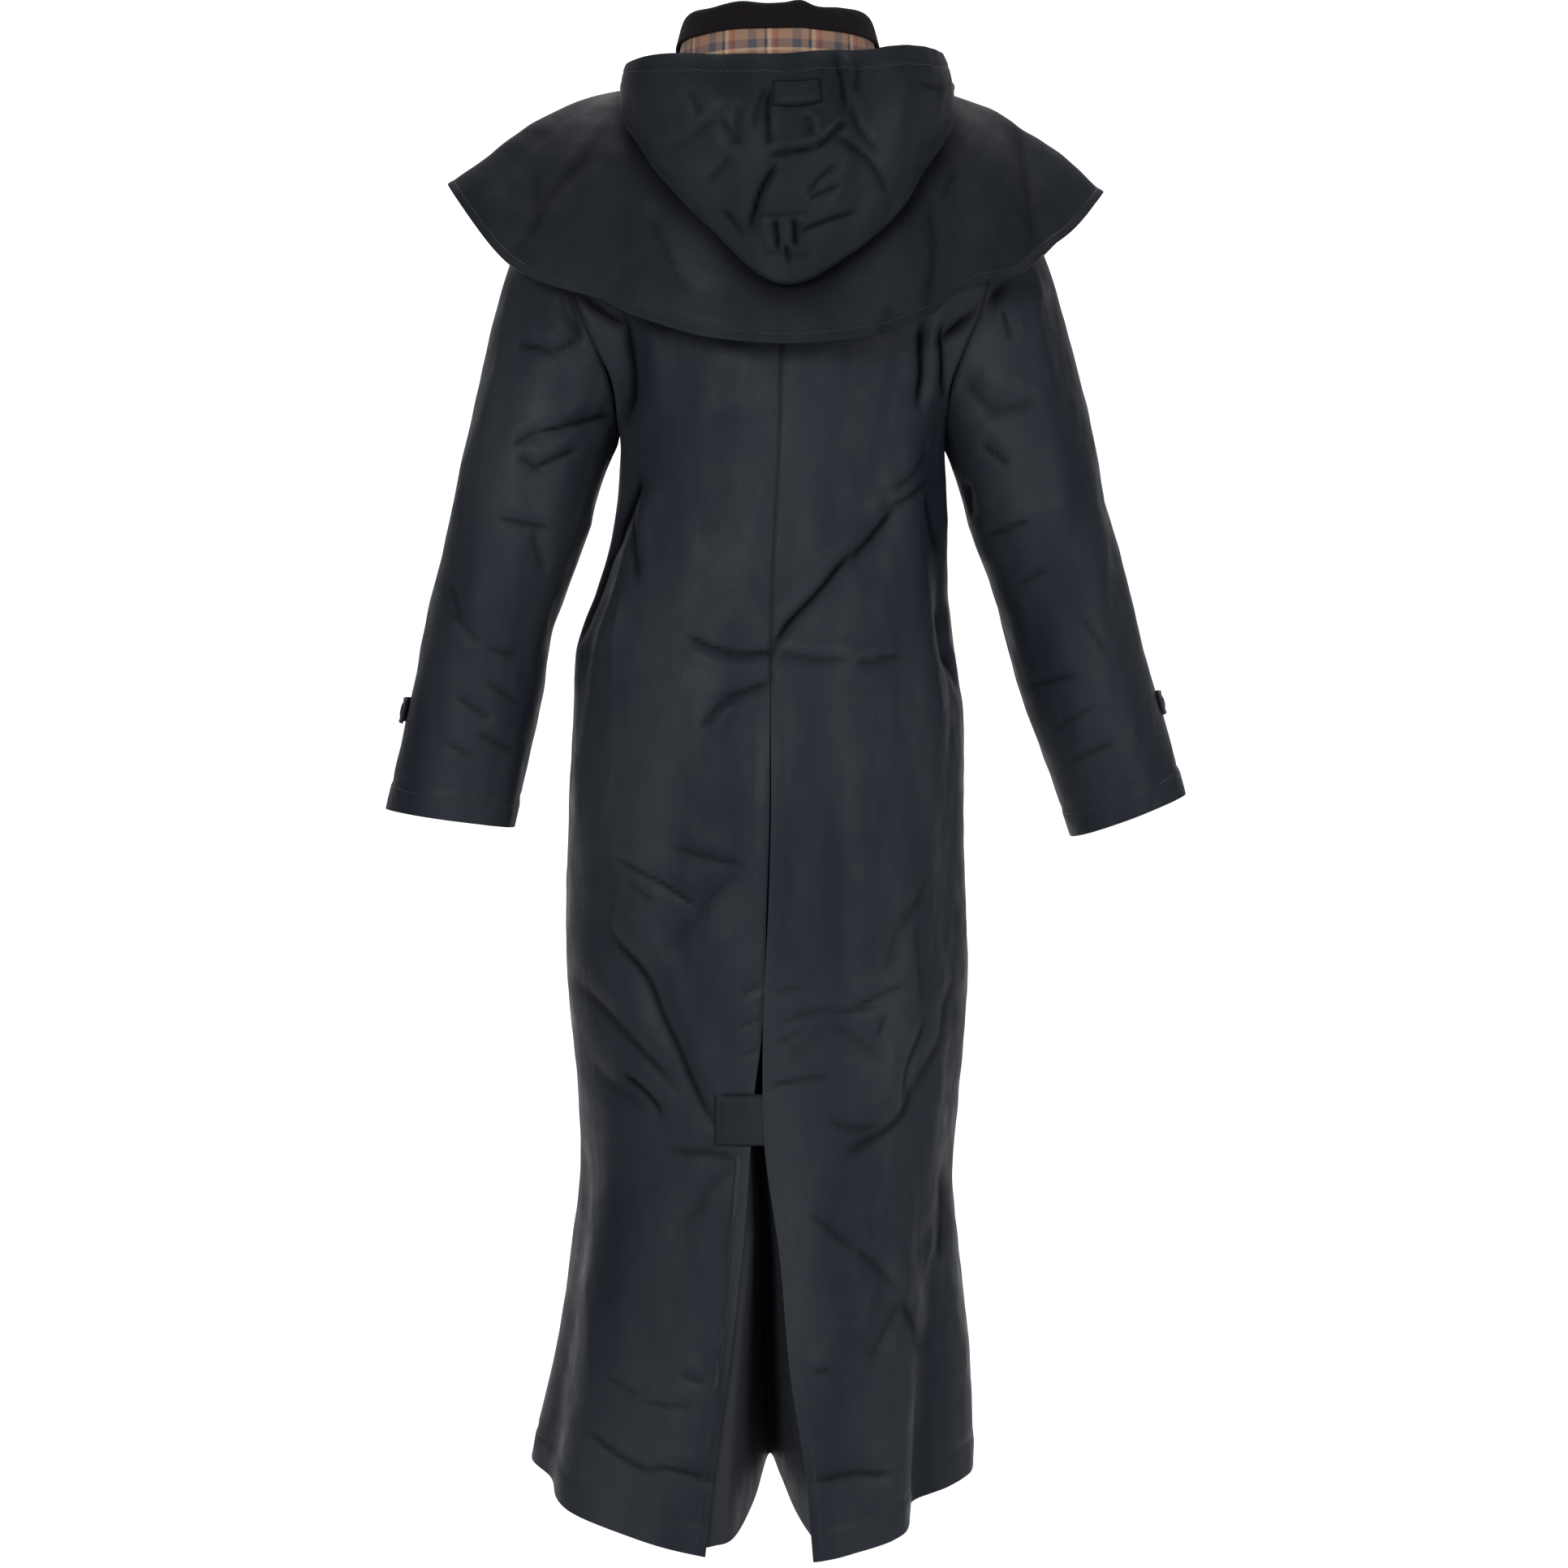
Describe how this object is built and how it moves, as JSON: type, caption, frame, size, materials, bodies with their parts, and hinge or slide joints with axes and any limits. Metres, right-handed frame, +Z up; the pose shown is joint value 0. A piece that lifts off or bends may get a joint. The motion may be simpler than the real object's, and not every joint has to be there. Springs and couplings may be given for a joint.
{
  "type": "stockman coat",
  "caption": "Long dark riding coat in its worn, hollow form, with shoulder cape, hanging hood with checked lining, turned-down collar and a gusseted back vent.",
  "frame": {"origin": "in the neck opening, midway between the shoulders at the height where the coat rests on them", "axes": "+X towards the wearer's right side, +Y out of the coat's front, +Z up; the back with hood and vent faces -Y"},
  "size_m": [0.7402, 0.4189, 1.3738],
  "materials": {
    "navy_cloth": "smooth dark navy waxed cloth with a soft sheen",
    "collar_cloth": "matt ribbed near-black cloth",
    "check_lining": "brushed beige check with grey, blue, cream and red lines",
    "stud_metal": "dark satin metal"
  },
  "bodies": {
    "root": {"back_left": "navy_cloth", "back_right": "navy_cloth", "front_left": "navy_cloth", "front_right": "navy_cloth", "sleeve_left": "navy_cloth", "sleeve_right": "navy_cloth", "cape": "navy_cloth", "hood": "navy_cloth", "hood_strap": "navy_cloth", "vent_gusset": "navy_cloth", "vent_tab": "navy_cloth", "cuff_strap_left": "navy_cloth", "cuff_strap_right": "navy_cloth", "collar": "collar_cloth", "hood_lining": "check_lining", "front_stud_1": "stud_metal", "front_stud_2": "stud_metal", "front_stud_3": "stud_metal", "front_stud_4": "stud_metal", "front_stud_5": "stud_metal"}
  },
  "joints": []
}
